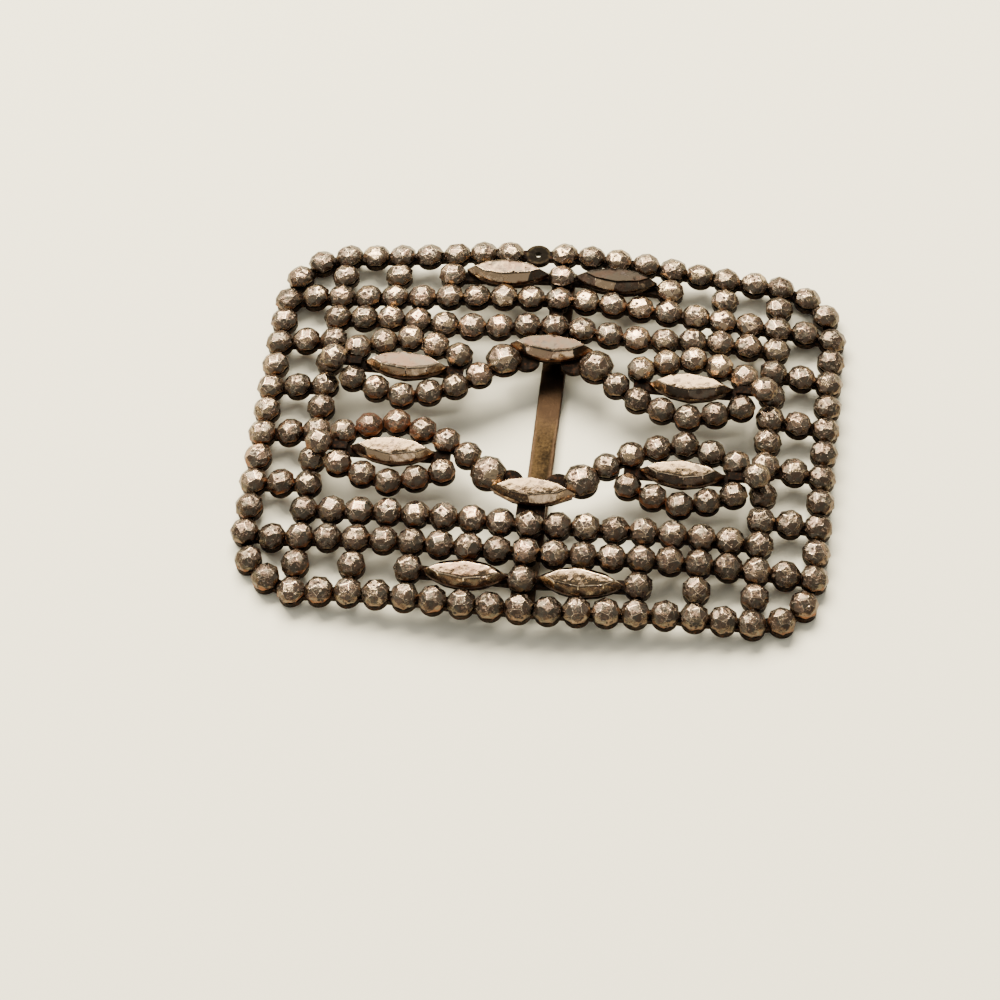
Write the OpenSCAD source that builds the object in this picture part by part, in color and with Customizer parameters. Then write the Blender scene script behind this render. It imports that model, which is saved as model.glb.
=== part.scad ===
// Cut steel belt buckle: a pierced, shallow domed plate set all over with riveted faceted studs,
// ten marquises, two flat openwork arms and a strap bar behind. Millimetres, +Z towards the viewer,
// +Y towards the top edge, standing on Z = 0 on the rivet ends of its corners.

/* [Lattice] */
// Distance from one stud to the next
pitch = 3.2; // [3.1:0.05:3.4]
// Radius of the sphere that the plate is domed to
dome_r = 195; // [180:5:260]

/* [Plate] */
// Thickness of the domed plate
plate_t = 0.8; // [0.7:0.05:0.9]
// Thickness of the two flat arms
arm_t = 0.65; // [0.6:0.05:0.7]
// Radius of the plate's round lobe under a stud
lobe_r = 1.5; // [1.45:0.01:1.55]
// Width of the ribbons of metal between the lobes
web_w = 1.3; // [1.1:0.05:1.4]
// Radius of a rivet hole
hole_r = 0.7; // [0.65:0.05:0.75]
// Radius of the open hole where a stud is missing
open_hole_r = 0.4; // [0.35:0.05:0.5]

/* [Studs] */
// Diameter of a stud's head
stud_d = 3.05; // [2.9:0.05:3.05]
// Diameter of a stud's head on the arms
arm_stud_d = 3; // [2.85:0.05:3]
// Height of a stud's head
stud_h = 1.35; // [1.1:0.05:1.4]
// Diameter of the four big studs
big_d = 3.85; // [3.5:0.05:3.85]
// Height of the four big studs
big_h = 1.8; // [1.5:0.05:1.8]
// Radius of the shank under a head
shank_r = 0.42; // [0.38:0.02:0.44]
// Radius of the peened end behind the plate
peen_r = 0.85; // [0.8:0.05:0.9]
// Thickness of the peened end
peen_t = 0.25; // [0.2:0.05:0.3]

/* [Marquises] */
// Length of a marquise from tip to tip
marquise_l = 9.7; // [9.2:0.05:9.7]
// Width of a marquise at its middle
marquise_w = 3.4; // [3:0.05:3.4]
// Height of a marquise
marquise_h = 1.6; // [1.3:0.05:1.8]

/* [Strap bar] */
// Width of the strap bar
bar_w = 2.8; // [2.4:0.1:3]
// Thickness of the strap bar
bar_t = 0.95; // [0.8:0.05:1]
// Depth of the bar's front face behind the middle of the plate's front
bar_depth = 3.5; // [3.2:0.05:3.55]

/* [Hidden] */

gap = 0.06;
pad_gap = 0.09;
eps = 0.01;
cut_depth = 8;
$fn = 48;

plate_color = "#3b2d22";
stud_color = "#9c8c7c";
marquise_color = "#b7a492";
bar_color = "#8a6a3e";

// Layout in pitches from the middle: u to the right, w towards the top edge.
// Each long row of studs is symmetric but for a slant, swells at its middle and may wave.
row_side = 0;
row_level = 1;
row_last = 2;
row_swell = 3;
row_slant = 4;
row_wave = 5;
//             side, level, last, swell, slant, wave
top_row     = [   1,  7.10,    8,  0.46,  0.00, 0.00];
upper_outer = [   1,  5.13,    9,  0.27,  0.00, 0.00];
upper_inner = [   1,  4.00,    8,  0.00,  0.00, 0.13];
lower_inner = [  -1,  4.07,    8,  0.18,  0.03, 0.00];
lower_outer = [  -1,  5.12,    9,  0.22,  0.08, 0.00];
bottom_row  = [  -1,  7.16,    8,  0.32,  0.10, 0.00];
swell_reach = 7;
wave_reach = 6;
missing_u = -1;
single_us = [-8, -6, -4, 0, 4, 6, 8];

// The two short sides: the outer column, its corners, the inner column and the cross studs.
side_u = 10;
side_last = 5;
corners = [[8.99, 6.79], [9.72, 6.08]];
inner_u = 8;
inner_levels = [3.12, 2.10, 1.10, 0.11, -0.88, -2.06, -3.07];
cross_u = 9;
cross_levels = [3.09, 1.06, -0.95, -3.04];

// One quarter of the arms: rosette, tip, link, big stud and half of the centre marquise.
rosette = [5.13, 1.82];
ring_steps = [-1.85, -0.95, 0, 0.95, 1.85];
ring_rise = 1.25;
ring_fall = 0.255;
ring_power = 1.4;
tip = [7.74, 1.82];
link = [2.47, 1.72];
big = [1.66, 2.42];
centre_marquise = [0, 3.04];
border_marquise_u = 2;
marquise_rivet = 0.6;
big_lobe_r = 0.58 * pitch;
inner_lobe = [0.85, 2.6];
web_reach = 1.94;
bridge_half_u = 0.5;
bridge_in_w = 3;
bridge_out_w = 4;
tie_us = [-8, 0, 8];

// The arms are flat and level with the plate at their middle; their tips step over the side columns.
// joint_t is the metal under a centre marquise, where arm and plate overlap.
arm_z = -0.2;
joint_t = 0.95;
tip_clear = 0.1;
tip_z = dome_z(inner_u * pitch, tip[1] * pitch) + gap + stud_h + tip_clear + peen_t + gap + arm_t;
tip_neck_w = 0.95;
tip_neck_u = 6.75;
tip_riser_u = 7.05;
tip_lobe_r = 1.15;

// The bar's profile from its middle to its end: flat, then a ramp up to a pad on the plate's back.
ramp_y = 15;
pad_in_y = 18.8;
pad_out_y = 22.3;
bar_x = 0.2;

function bell(t) = abs(t) < 1 ? (1 + cos(180 * t)) / 2 : 0;
function row_w(row, u) =
    row[row_side] * (row[row_level] + row[row_swell] * bell(u / swell_reach)
        + row[row_wave] * cos(360 / wave_reach * min(abs(u), wave_reach)))
    + row[row_slant] * u / row[row_last];
function row_points(row) = [for (u = [-row[row_last] : row[row_last]]) [u, row_w(row, u)]];
function mid_point(outer, inner, u) = [u, (row_w(outer, u) + row_w(inner, u)) / 2];
function singles(outer, inner) = [for (u = single_us) mid_point(outer, inner, u)];
function flip(points, su, sw) = [for (p = points) [su * p[0], sw * p[1]]];

function ring(side) = [for (d = ring_steps)
    [rosette[0] + d, rosette[1] + side * (ring_rise - ring_fall * pow(abs(d), ring_power))]];
rosette_points = concat(ring(1), ring(-1), [link]);
column_points = [for (w = [-side_last : side_last]) [side_u, w]];
inner_points = [for (w = inner_levels) [inner_u, w]];
cross_points = [for (w = cross_levels) [cross_u, w]];
side_points = concat(inner_points, cross_points);
border_points = concat(
    [for (p = row_points(top_row)) if (p[0] != missing_u) p],
    row_points(bottom_row),
    column_points, flip(column_points, -1, 1),
    corners, flip(corners, -1, 1), flip(corners, 1, -1), flip(corners, -1, -1));
upper_row_points = concat(singles(top_row, upper_outer), row_points(upper_outer), row_points(upper_inner));
lower_row_points = concat(singles(bottom_row, lower_outer), row_points(lower_outer), row_points(lower_inner));
missing_point = [missing_u, row_w(top_row, missing_u)];
upper_marquises = [for (s = [-1, 1]) mid_point(top_row, upper_outer, s * border_marquise_u)];
lower_marquises = [for (s = [-1, 1]) mid_point(bottom_row, lower_outer, s * border_marquise_u)];

function dome_z(x, y) = sqrt(dome_r * dome_r - x * x - y * y) - dome_r;
function tilt_at(x, y) = asin(norm([x, y]) / dome_r);

// The lowest rivet end decides how far the whole buckle is lifted to stand on Z = 0.
function rivet_low(p) = let (x = p[0] * pitch, y = p[1] * pitch, a = tilt_at(x, y))
    dome_z(x, y) - (plate_t + gap + peen_t) * cos(a) - peen_r * sin(a);
rest_lift = -min([for (p = border_points) rivet_low(p)]);

module on_dome(p) {
    x = p[0] * pitch;
    y = p[1] * pitch;
    translate([x, y, rest_lift + dome_z(x, y)])
        rotate(a = tilt_at(x, y), v = [-y, x, 0])
            children();
}

module on_level(p, z) {
    translate([p[0] * pitch, p[1] * pitch, rest_lift + z]) children();
}

function circle_points(n, r, z, start) =
    [for (i = [0 : n - 1]) [r * cos(360 * i / n + start), r * sin(360 * i / n + start), z]];

// A head: square table, 4 star facets, 4 lozenges, 8 lower facets and a thin girdle.
table_share = 0.45;
star_share = 0.78;
star_height = 0.81;
girdle_height = 0.28;
base_share = 0.84;
module head(d, h) {
    r = d / 2;
    points = concat(
        circle_points(4, r * table_share, h, 0),
        circle_points(4, r * star_share, h * star_height, 45),
        circle_points(8, r, h * girdle_height, 0),
        circle_points(8, r * base_share, 0, 0));
    stars = [for (i = [0 : 3]) [i, (i + 1) % 4, 4 + i]];
    lozenges = [for (i = [0 : 3]) each [[i, 4 + i, 8 + 2 * i], [i, 8 + 2 * i, 4 + (i + 3) % 4]]];
    lowers = [for (i = [0 : 3]) each [
        [8 + 2 * i, 4 + i, 9 + 2 * i],
        [9 + 2 * i, 4 + i, 8 + (2 * i + 2) % 8]]];
    girdle = [for (i = [0 : 7]) [8 + i, 8 + (i + 1) % 8, 16 + (i + 1) % 8, 16 + i]];
    polyhedron(points,
        concat([[3, 2, 1, 0]], stars, lozenges, lowers, girdle, [[for (i = [0 : 7]) 16 + i]]));
}

module rivet(grip) {
    translate([0, 0, -grip - gap]) cylinder(r = shank_r, h = grip + 2 * gap + eps);
    translate([0, 0, -grip - gap - peen_t]) cylinder(r = peen_r, h = peen_t);
}

module stud(d, h, grip, spin) {
    translate([0, 0, gap]) rotate([0, 0, spin]) head(d, h);
    rivet(grip);
}

// Studs on the dome. Those that also hold the bar have a longer grip.
function holds_bar(p) = p[0] == 0 && abs(p[1]) * pitch > pad_in_y && abs(p[1]) * pitch < pad_out_y;
module dome_studs(points, seed) {
    spins = rands(0, 90, len(points), seed);
    color(stud_color) for (i = [0 : len(points) - 1])
        on_dome(points[i])
            stud(stud_d, stud_h, holds_bar(points[i]) ? plate_t + bar_t + 2 * pad_gap : plate_t, spins[i]);
}

module rosette_studs(su, sw, seed) {
    spins = rands(0, 90, len(rosette_points) + 1, seed);
    color(stud_color) {
        for (i = [0 : len(rosette_points) - 1])
            on_level(flip([rosette_points[i]], su, sw)[0], arm_z) stud(arm_stud_d, stud_h, arm_t, spins[i]);
        on_level([su * tip[0], sw * tip[1]], tip_z) stud(arm_stud_d, stud_h, arm_t, spins[len(spins) - 1]);
    }
}

big_turn_side = 20;
big_turn_row = 35;
module big_stud(su, sw) {
    color(stud_color) on_level([su * big[0], sw * big[1]], arm_z)
        stud(big_d, big_h, arm_t, big_turn_side * su + big_turn_row * sw);
}

// A marquise: a long pointed table and four sloped facets along each side, on two rivets.
lens_steps = [0, 0.25, 0.5, 0.75];
lens_table_l = 0.7;
lens_table_w = 0.54;
lens_girdle = 0.35;
lens_base_l = 0.98;
lens_base_w = 0.95;
function lens_points(l, w, z) = concat(
    [for (t = lens_steps) [l * (t - 0.5), -w / 2 * sin(180 * t), z]],
    [for (t = lens_steps) [l * (0.5 - t), w / 2 * sin(180 * t), z]]);
module marquise(grip) {
    n = 2 * len(lens_steps);
    points = concat(
        lens_points(marquise_l * lens_table_l, marquise_w * lens_table_w, marquise_h),
        lens_points(marquise_l, marquise_w, marquise_h * lens_girdle),
        lens_points(marquise_l * lens_base_l, marquise_w * lens_base_w, 0));
    function band(low) = [for (i = [0 : n - 1]) let (j = (i + 1) % n) each [
        [low - n + i, low - n + j, low + i], [low + i, low - n + j, low + j]]];
    color(marquise_color) {
        translate([0, 0, 2 * gap]) polyhedron(points,
            concat([[for (i = [0 : n - 1]) n - 1 - i]], band(n), band(2 * n), [[for (i = [0 : n - 1]) 2 * n + i]]));
        for (s = [-1, 1]) translate([s * marquise_rivet * pitch, 0, gap]) rivet(grip + gap);
    }
}
module arm_marquise(p, grip = arm_t) on_level(p, arm_z) marquise(grip);
module dome_marquise(p) on_dome(p) marquise(plate_t);

module lobes(points, r) {
    for (p = points) translate(p * pitch) circle(r = r);
}

// A ribbon of metal along a path of the lattice.
function side_of(path, i) =
    let (d = path[min(i + 1, len(path) - 1)] - path[max(i - 1, 0)]) [-d[1], d[0]] / norm(d) * web_w / 2;
module ribbon(path) {
    n = len(path) - 1;
    polygon(concat(
        [for (i = [0 : n]) path[i] * pitch + side_of(path, i)],
        [for (i = [n : -1 : 0]) path[i] * pitch - side_of(path, i)]));
}

// The metal under a marquise, a little smaller than the marquise itself.
lens_plate_l = 0.92;
lens_plate_w = 0.9;
module lens_plate(p) {
    translate(p * pitch)
        polygon([for (q = lens_points(marquise_l * lens_plate_l, marquise_w * lens_plate_w, 0)) [q[0], q[1]]]);
}

module marquise_holes(p) {
    for (s = [-1, 1]) translate(p * pitch + [s * marquise_rivet * pitch, 0]) circle(r = hole_r);
}

dome_points = concat(border_points, upper_row_points, lower_row_points, side_points, flip(side_points, -1, 1));
dome_marquises = concat(upper_marquises, lower_marquises);
module dome_outline() {
    lobes(concat(dome_points, [missing_point]), lobe_r);
    for (p = dome_marquises) lens_plate(p);
    for (row = [top_row, upper_outer, upper_inner, lower_inner, lower_outer, bottom_row]) ribbon(row_points(row));
    for (rows = [[upper_inner, upper_outer, top_row], [lower_inner, lower_outer, bottom_row]]) {
        for (u = tie_us) ribbon([[u, row_w(rows[0], u)], [u, row_w(rows[1], u)]]);
        for (u = single_us) ribbon([[u, row_w(rows[1], u)], [u, row_w(rows[2], u)]]);
        for (s = [-1, 1]) {
            ribbon([mid_point(rows[1], rows[2], 0), mid_point(rows[1], rows[2], s * 2 * border_marquise_u)]);
            end = s * rows[1][row_last];
            ribbon([[end, row_w(rows[1], end)], [s * side_u, rows[1][row_side] * side_last]]);
            turn = s * rows[2][row_last];
            ribbon(concat([[turn, row_w(rows[2], turn)]], flip(corners, s, rows[2][row_side]),
                [[s * side_u, rows[2][row_side] * side_last]]));
        }
    }
    for (su = [-1, 1]) {
        ribbon(flip(column_points, su, 1));
        ribbon([[su * inner_u, row_w(lower_inner, su * inner_u)], [su * inner_u, row_w(upper_inner, su * inner_u)]]);
        for (w = cross_levels) ribbon([[su * inner_u, w], [su * side_u, w]]);
    }
    for (sw = [-1, 1])
        translate([0, sw * (bridge_in_w + bridge_out_w) / 2 * pitch])
            square([2 * bridge_half_u, bridge_out_w - bridge_in_w] * pitch, center = true);
}
module dome_holes() {
    lobes(dome_points, hole_r);
    lobes([missing_point], open_hole_r);
    for (p = dome_marquises) marquise_holes(p);
}

module arm_outline(sw) {
    for (su = [-1, 1]) {
        lobes(flip(concat(rosette_points, [inner_lobe]), su, sw), lobe_r);
        lobes(flip([big], su, sw), big_lobe_r);
        lens_plate([su * rosette[0], sw * rosette[1]]);
        for (side = [-1, 1]) ribbon(flip(ring(side), su, sw));
        for (i = [0, len(ring_steps) - 1]) ribbon(flip([ring(-1)[i], ring(1)[i]], su, sw));
        ribbon(flip([rosette - [web_reach, 0], rosette + [web_reach, 0]], su, sw));
        ribbon(flip([ring(-1)[0], link, big, centre_marquise + [marquise_rivet, 0]], su, sw));
        ribbon(flip([inner_lobe, centre_marquise + [marquise_rivet, 0]], su, sw));
    }
    lens_plate([0, sw * centre_marquise[1]]);
}
module arm_holes(sw) {
    for (su = [-1, 1]) {
        lobes(flip(concat(rosette_points, [big]), su, sw), hole_r);
        marquise_holes([su * rosette[0], sw * rosette[1]]);
    }
    marquise_holes([0, sw * centre_marquise[1]]);
}

// The raised neck and lobe that carry an arm's tip over the side column.
module tip_step(su, sw) {
    translate([0, sw * tip[1] * pitch, 0]) {
        translate([su * (tip_neck_u + tip_riser_u) / 2 * pitch, 0, (tip_z + arm_z - arm_t) / 2])
            cube([(tip_riser_u - tip_neck_u) * pitch, tip_neck_w, tip_z - arm_z + arm_t], center = true);
        difference() {
            union() {
                translate([su * (tip_neck_u + tip[0]) / 2 * pitch, 0, tip_z - arm_t / 2])
                    cube([(tip[0] - tip_neck_u) * pitch, tip_neck_w, arm_t], center = true);
                translate([su * tip[0] * pitch, 0, tip_z - arm_t]) cylinder(r = tip_lobe_r, h = arm_t);
            }
            translate([su * tip[0] * pitch, 0, tip_z - arm_t - eps]) cylinder(r = hole_r, h = arm_t + 2 * eps);
        }
    }
}

module dome_plate() {
    intersection() {
        translate([0, 0, -cut_depth]) linear_extrude(cut_depth + plate_t) difference() {
            dome_outline();
            dome_holes();
            for (sw = [-1, 1]) marquise_holes([0, sw * centre_marquise[1]]);
        }
        translate([0, 0, -dome_r]) difference() {
            sphere(r = dome_r);
            sphere(r = dome_r - plate_t);
        }
    }
}

module arm_plate(sw) {
    translate([0, 0, arm_z - arm_t]) linear_extrude(arm_t) difference() {
        arm_outline(sw);
        arm_holes(sw);
    }
    for (su = [-1, 1]) tip_step(su, sw);
}

module openwork_plate() {
    color(plate_color) translate([0, 0, rest_lift]) {
        dome_plate();
        for (sw = [-1, 1]) arm_plate(sw);
    }
}

// The bar is one flat strip, ramped up at both ends to pads that the rivets hold.
function pad_z(y) = dome_z(0, y) - plate_t - pad_gap;
module strap_bar() {
    front = [[pad_out_y, pad_z(pad_out_y)], [pad_in_y, pad_z(pad_in_y)], [ramp_y, -bar_depth]];
    side = concat(front, [for (i = [len(front) - 1 : -1 : 0]) [-front[i][0], front[i][1]]]);
    outline = concat(side, [for (i = [len(side) - 1 : -1 : 0]) [side[i][0], side[i][1] - bar_t]]);
    color(bar_color) translate([0, 0, rest_lift]) difference() {
        translate([bar_x - bar_w / 2, 0, 0]) rotate([90, 0, 90]) linear_extrude(bar_w) polygon(outline);
        for (p = concat(upper_row_points, lower_row_points))
            if (holds_bar(p)) translate([0, p[1] * pitch, -cut_depth]) cylinder(r = hole_r, h = cut_depth);
    }
}

module border_studs() dome_studs(border_points, 11);
module upper_row_studs() dome_studs(upper_row_points, 12);
module lower_row_studs() dome_studs(lower_row_points, 13);
module left_side_studs() dome_studs(flip(side_points, -1, 1), 14);
module right_side_studs() dome_studs(side_points, 15);
module upper_left_rosette_studs() rosette_studs(-1, 1, 16);
module upper_right_rosette_studs() rosette_studs(1, 1, 17);
module lower_left_rosette_studs() rosette_studs(-1, -1, 18);
module lower_right_rosette_studs() rosette_studs(1, -1, 19);
module upper_left_big_stud() big_stud(-1, 1);
module upper_right_big_stud() big_stud(1, 1);
module lower_left_big_stud() big_stud(-1, -1);
module lower_right_big_stud() big_stud(1, -1);
module upper_centre_marquise() arm_marquise(centre_marquise, joint_t);
module lower_centre_marquise() arm_marquise(-centre_marquise, joint_t);
module upper_left_rosette_marquise() arm_marquise([-rosette[0], rosette[1]]);
module upper_right_rosette_marquise() arm_marquise(rosette);
module lower_left_rosette_marquise() arm_marquise(-rosette);
module lower_right_rosette_marquise() arm_marquise([rosette[0], -rosette[1]]);
module upper_left_border_marquise() dome_marquise(upper_marquises[0]);
module upper_right_border_marquise() dome_marquise(upper_marquises[1]);
module lower_left_border_marquise() dome_marquise(lower_marquises[0]);
module lower_right_border_marquise() dome_marquise(lower_marquises[1]);

openwork_plate();
strap_bar();
border_studs();
upper_row_studs();
lower_row_studs();
left_side_studs();
right_side_studs();
upper_left_rosette_studs();
upper_right_rosette_studs();
lower_left_rosette_studs();
lower_right_rosette_studs();
upper_left_big_stud();
upper_right_big_stud();
lower_left_big_stud();
lower_right_big_stud();
upper_centre_marquise();
lower_centre_marquise();
upper_left_rosette_marquise();
upper_right_rosette_marquise();
lower_left_rosette_marquise();
lower_right_rosette_marquise();
upper_left_border_marquise();
upper_right_border_marquise();
lower_left_border_marquise();
lower_right_border_marquise();
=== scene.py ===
"""Dresses the cut steel belt buckle: worn faceted studs and marquises, patinated plate, aged brass bar."""
import math
import random

import bmesh
import bpy
import numpy as np
from mathutils import Matrix, Vector, noise


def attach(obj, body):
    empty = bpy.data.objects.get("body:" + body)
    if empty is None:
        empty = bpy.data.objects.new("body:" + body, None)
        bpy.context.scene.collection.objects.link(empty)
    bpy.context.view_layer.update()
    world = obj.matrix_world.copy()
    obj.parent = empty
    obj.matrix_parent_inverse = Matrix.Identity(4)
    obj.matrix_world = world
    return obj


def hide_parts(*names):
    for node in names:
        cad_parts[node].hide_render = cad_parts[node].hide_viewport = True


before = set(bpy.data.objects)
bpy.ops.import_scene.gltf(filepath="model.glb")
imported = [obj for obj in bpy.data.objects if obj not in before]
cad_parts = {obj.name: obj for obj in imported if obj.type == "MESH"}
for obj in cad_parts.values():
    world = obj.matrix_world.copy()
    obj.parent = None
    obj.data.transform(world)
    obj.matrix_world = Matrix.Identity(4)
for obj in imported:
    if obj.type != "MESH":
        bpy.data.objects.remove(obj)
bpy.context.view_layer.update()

# Sizes in millimetres, as in the part's source.
MM = 0.001
PITCH = 3.2
DOME_R = 195.0
REST_LIFT = 4.73246
GAP = 0.06
STUD_H = 1.35
BIG_H = 1.8
SHANK_R = 0.42
PEEN_R = 0.85
PEEN_T = 0.25
MARQUISE_L = 9.7
MARQUISE_W = 3.4
MARQUISE_H = 1.6
SPHERE_CENTRE = Vector((0, 0, REST_LIFT - DOME_R))

CORNERS = [f"{a}_{b}" for a in ("upper", "lower") for b in ("left", "right")]
DOME_STUDS = ["border_studs", "upper_row_studs", "lower_row_studs", "left_side_studs", "right_side_studs"]
ARM_STUDS = [f"{corner}_rosette_studs" for corner in CORNERS]
BIG_STUDS = [f"{corner}_big_stud" for corner in CORNERS]
ARM_MARQUISES = ["upper_centre_marquise", "lower_centre_marquise"] + [
    f"{corner}_rosette_marquise" for corner in CORNERS]
DOME_MARQUISES = [f"{corner}_border_marquise" for corner in CORNERS]


def clamp(value, low=0, high=1):
    return min(max(value, low), high)


def jitter(rng, reach):
    return rng.uniform(-reach, reach)


def add_object(name, data):
    """A new object in the scene."""
    made = bpy.data.objects.new(name, data)
    bpy.context.scene.collection.objects.link(made)
    return made


# Camera, fitted to where the studs stand in the picture. Angles in radians, lengths in millimetres.
CAMERA_TURN = (-0.5495, -0.0382, -0.1187)
CAMERA_SHIFT = Vector((4.7819, 9.3942, 340.3964))
FOCAL_PX = 3000
FRAME_PX = 1000
SENSOR_MM = 36
SIGHT_LIFT = REST_LIFT + 0.6
NEAR_CLIP_M = 0.01


def make_camera():
    rx, ry, rz = CAMERA_TURN
    turn = Matrix.Rotation(rx, 3, "X") @ Matrix.Rotation(ry, 3, "Y") @ Matrix.Rotation(rz, 3, "Z")
    back = turn.transposed()
    place = back @ Vector((-CAMERA_SHIFT.x, -CAMERA_SHIFT.y, CAMERA_SHIFT.z)) + Vector((0, 0, SIGHT_LIFT))
    data = bpy.data.cameras.new("camera")
    data.sensor_width = SENSOR_MM
    data.lens = FOCAL_PX / FRAME_PX * SENSOR_MM
    data.clip_start = NEAR_CLIP_M
    camera = add_object("camera", data)
    camera.matrix_world = Matrix.Translation(place * MM) @ back.to_4x4()
    bpy.context.scene.camera = camera


# Meshes.
WELD_DECIMALS = 3


def loose_solids(node):
    """The welded vertices of each loose solid of a CAD node, in millimetres."""
    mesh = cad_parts[node].data
    points = np.empty(len(mesh.vertices) * 3)
    mesh.vertices.foreach_get("co", points)
    points = points.reshape(-1, 3) / MM
    unique, where = np.unique(np.round(points, WELD_DECIMALS), axis=0, return_inverse=True)
    where = where.reshape(-1)
    parent = list(range(len(unique)))

    def root(i):
        while parent[i] != i:
            parent[i] = parent[parent[i]]
            i = parent[i]
        return i

    for polygon in mesh.polygons:
        corners = [root(int(where[v])) for v in polygon.vertices]
        for c in corners[1:]:
            parent[c] = corners[0]
    groups = {}
    for i, p in enumerate(unique):
        groups.setdefault(root(i), []).append(p)
    return [np.array(g) for g in groups.values()]


class Seat:
    """Where a riveted head sits: a point on the plate's front, the axis out of it, and the solid's reach."""

    def __init__(self, points, on_dome, height):
        centre = Vector(points.mean(axis=0))
        self.axis = (centre - SPHERE_CENTRE).normalized() if on_dome else Vector((0, 0, 1))
        along = points @ np.array(self.axis)
        self.base = centre + self.axis * (along.max() - height - GAP - centre.dot(self.axis))
        self.low = along.min() - self.base.dot(self.axis)
        across = points - np.outer(along, np.array(self.axis))
        middle = np.array(centre - self.axis * centre.dot(self.axis))
        self.radius = float(np.linalg.norm(across - middle, axis=1).max())
        turn = Vector((0, 0, 1)).rotation_difference(self.axis).to_matrix().to_4x4()
        self.matrix = Matrix.Translation(self.base) @ turn


def leaning(azimuth, tilt):
    """The unit vector that leans by tilt from the axis towards azimuth, both in radians."""
    return Vector((math.sin(tilt) * math.cos(azimuth), math.sin(tilt) * math.sin(azimuth), math.cos(tilt)))


CUT_TOLERANCE = 1e-6


def cut(bm, normal, distance):
    """Keeps what lies behind a plane and closes the cut."""
    made = bmesh.ops.bisect_plane(bm, geom=bm.verts[:] + bm.edges[:] + bm.faces[:], dist=CUT_TOLERANCE,
                                  plane_co=normal * distance, plane_no=normal, clear_outer=True)
    edges = [g for g in made["geom_cut"] if isinstance(g, bmesh.types.BMEdge)]
    if edges:
        bmesh.ops.edgeloop_fill(bm, edges=edges)


def new_blank(reach, height):
    """A block that stands on the plate, larger than the head that is cut from it."""
    bm = bmesh.new()
    bmesh.ops.create_cone(bm, cap_ends=True, segments=4, radius1=reach, radius2=reach, depth=4 * height)
    cut(bm, Vector((0, 0, -1)), 0)
    return bm


def refine(bm, length, rounds=2):
    """Triangles, halved until their edges are no longer than length, in so many rounds at most."""
    bmesh.ops.triangulate(bm, faces=bm.faces[:])
    for _ in range(rounds):
        edges = [e for e in bm.edges if e.calc_length() > length]
        if not edges:
            break
        bmesh.ops.subdivide_edges(bm, edges=edges, cuts=1)
        bmesh.ops.triangulate(bm, faces=bm.faces[:])


# Wear: waves and dents in millimetres, and heights as shares of the head's own.
COARSE_WAVES = 1.5
FINE_WAVES = 3.3
FINE_SHARE = 0.6
FULL_WEAR_FROM = 0.3
DENTS_FROM = 0.45
DENT_REACH = (0.16, 0.38)
DENT_DEPTH = (0.04, 0.12)
DENT_WAVES = 6
DENT_RAGGED = 0.6
NOISE_SPAN = 99


def wear(bm, rng, top, amount, dents):
    """Uneven wear all over the upper facets, and a few dents. The wear has a coarse and a fine part."""
    offset = Vector([rng.uniform(0, NOISE_SPAN) for _ in range(3)])
    bm.normal_update()
    upper = [v for v in bm.verts if v.co.z > DENTS_FROM * top]
    spots = [(rng.choice(upper).co.copy(), rng.uniform(*DENT_REACH), rng.uniform(*DENT_DEPTH))
             for _ in range(dents)]
    moves = []
    for v in bm.verts:
        share = clamp(v.co.z / (FULL_WEAR_FROM * top))
        fine = FINE_SHARE * noise.noise(v.co * FINE_WAVES - offset)
        d = amount * (noise.noise(v.co * COARSE_WAVES + offset) + fine) * share
        for middle, reach, depth in spots:
            s = (v.co - middle).length / reach
            if s < 1:
                d -= depth * (1 - s * s) ** 2 * (1 + DENT_RAGGED * noise.noise(v.co * DENT_WAVES + offset))
        moves.append((v, v.normal * d))
    for v, move in moves:
        v.co += move


# The facet layer of a mesh holds a tone for each facet: this one where an edge between two is worn, and
# the plain one on rivets and on the bar.
EDGE_TONE = 1.3
PLAIN_TONE = 0.5
# The profile of a bevel that follows a circle.
ROUND = 0.5


def tone_facets(bm, rng):
    """Each facet gets a tone of its own."""
    layer = bm.faces.layers.float.new("facet")
    for f in bm.faces:
        f[layer] = rng.random()
    return layer


def soften(bm, layer, width, segments=1):
    """Worn edges between the facets, kept bright."""
    made = bmesh.ops.bevel(bm, geom=bm.edges[:], offset=width, segments=segments, profile=ROUND,
                           affect="EDGES", clamp_overlap=True)
    for f in made["faces"]:
        f[layer] = EDGE_TONE


# What a mesh says at each vertex of the piece that it is part of, and a height for which all is low.
LAYERS = ("tone", "rust", "seed")
ALL_LOW = 1e6


def new_target():
    return {k: [] for k in ("verts", "faces", "facet", "low") + LAYERS}


def into(target, bm, matrix, values):
    """Moves a bmesh into a list of raw mesh parts, with its piece's values."""
    bm.verts.index_update()
    start = len(target["verts"])
    facet_tone = bm.faces.layers.float.get("facet")
    for v in bm.verts:
        target["verts"].append((matrix @ v.co) * MM)
        target["low"].append(v.co.z / values["height"])
        for k in LAYERS:
            target[k].append(values[k])
    for f in bm.faces:
        target["faces"].append([start + v.index for v in f.verts])
        target["facet"].append(f[facet_tone] if facet_tone else PLAIN_TONE)
    bm.free()


def finish_piece(target, material, node):
    """One object from the raw mesh parts, in place of a CAD node."""
    name = "worn_" + node
    mesh = bpy.data.meshes.new(name)
    mesh.from_pydata(target["verts"], [], target["faces"])
    for layer, domain in [(k, "POINT") for k in ("low",) + LAYERS] + [("facet", "FACE")]:
        values = np.array(target[layer], dtype=np.float32)
        mesh.attributes.new(layer, "FLOAT", domain).data.foreach_set("value", values)
    mesh.materials.append(material)
    mesh.polygons.foreach_set("use_smooth", np.full(len(mesh.polygons), True))
    mesh.update()
    piece = add_object(name, mesh)
    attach(piece, "root")
    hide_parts(node)


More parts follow.
